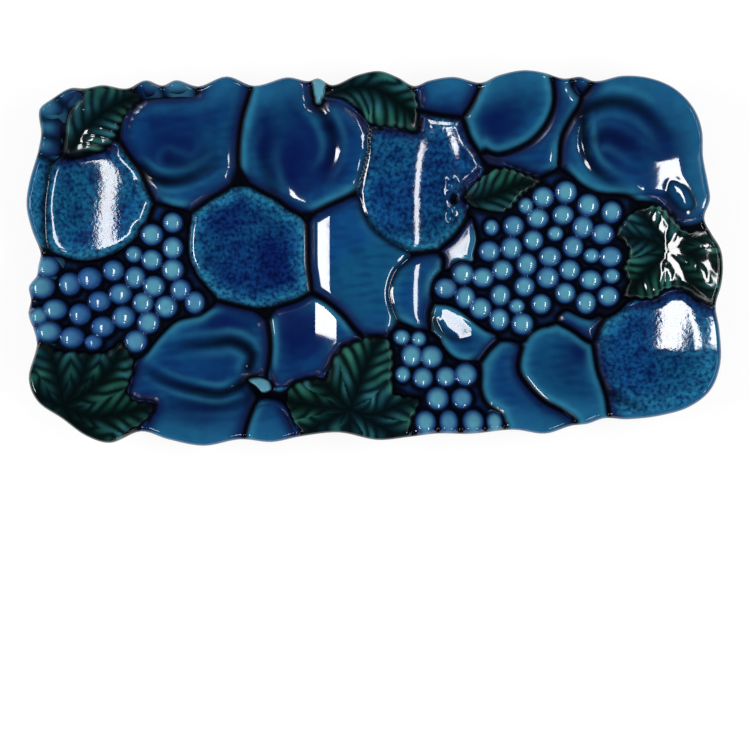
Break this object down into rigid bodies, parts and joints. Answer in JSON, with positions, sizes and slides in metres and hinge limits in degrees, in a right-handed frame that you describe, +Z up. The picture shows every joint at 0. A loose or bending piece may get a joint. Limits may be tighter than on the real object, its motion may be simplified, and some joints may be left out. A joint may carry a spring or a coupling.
{
  "type": "relish dish",
  "caption": "Oblong glazed earthenware relish dish with two shallow wells, a low saddle between them and a scalloped rim, covered in moulded fruit, leaves and grapes.",
  "frame": {"origin": "on the table under the middle of the dish's box", "axes": "+X along the dish towards the right-hand well, +Y to the back, +Z up"},
  "size_m": [0.3098, 0.1669, 0.0385],
  "materials": {
    "body": "gloss",
    "foot": "matte, unglazed",
    "stem": "gloss",
    "leaf": "gloss",
    "orange": "gloss, finely pitted",
    "fruit": "gloss",
    "grape": "gloss"
  },
  "bodies": {
    "root": {"dish_shell": "body", "foot_ring_left": "foot", "foot_ring_right": "foot", "stem_back": "stem", "stem_front": "stem", "orange_calyx": "stem", "pear_bud": "stem", "leaf_back_left": "leaf", "leaf_back_centre": "leaf", "leaf_right_middle": "leaf", "leaf_right": "leaf", "leaf_front": "leaf", "leaf_front_left": "leaf", "orange_right": "orange", "orange_left": "orange", "orange_centre_left": "orange", "orange_centre_right": "orange", "plum_back_right": "fruit", "plum_front_right": "fruit", "orange_rind_left": "fruit", "peach_back_centre": "fruit", "berries_back_rim": "fruit", "peach_back_left": "fruit", "plum_back_centre": "fruit", "plum_back_right_behind": "fruit", "berry_back_right": "fruit", "pear_back_right": "fruit", "plum_front_right_behind": "fruit", "plum_front_right_small": "fruit", "apricot_front": "fruit", "plum_saddle_right": "fruit", "plum_saddle_back": "fruit", "plum_front_centre": "fruit", "plum_front_rim": "fruit", "peach_front_left": "fruit", "pear_saddle": "fruit", "berries_back_left": "fruit", "grapes_left": "grape", "grapes_right": "grape", "grapes_front": "grape"}
  },
  "joints": []
}
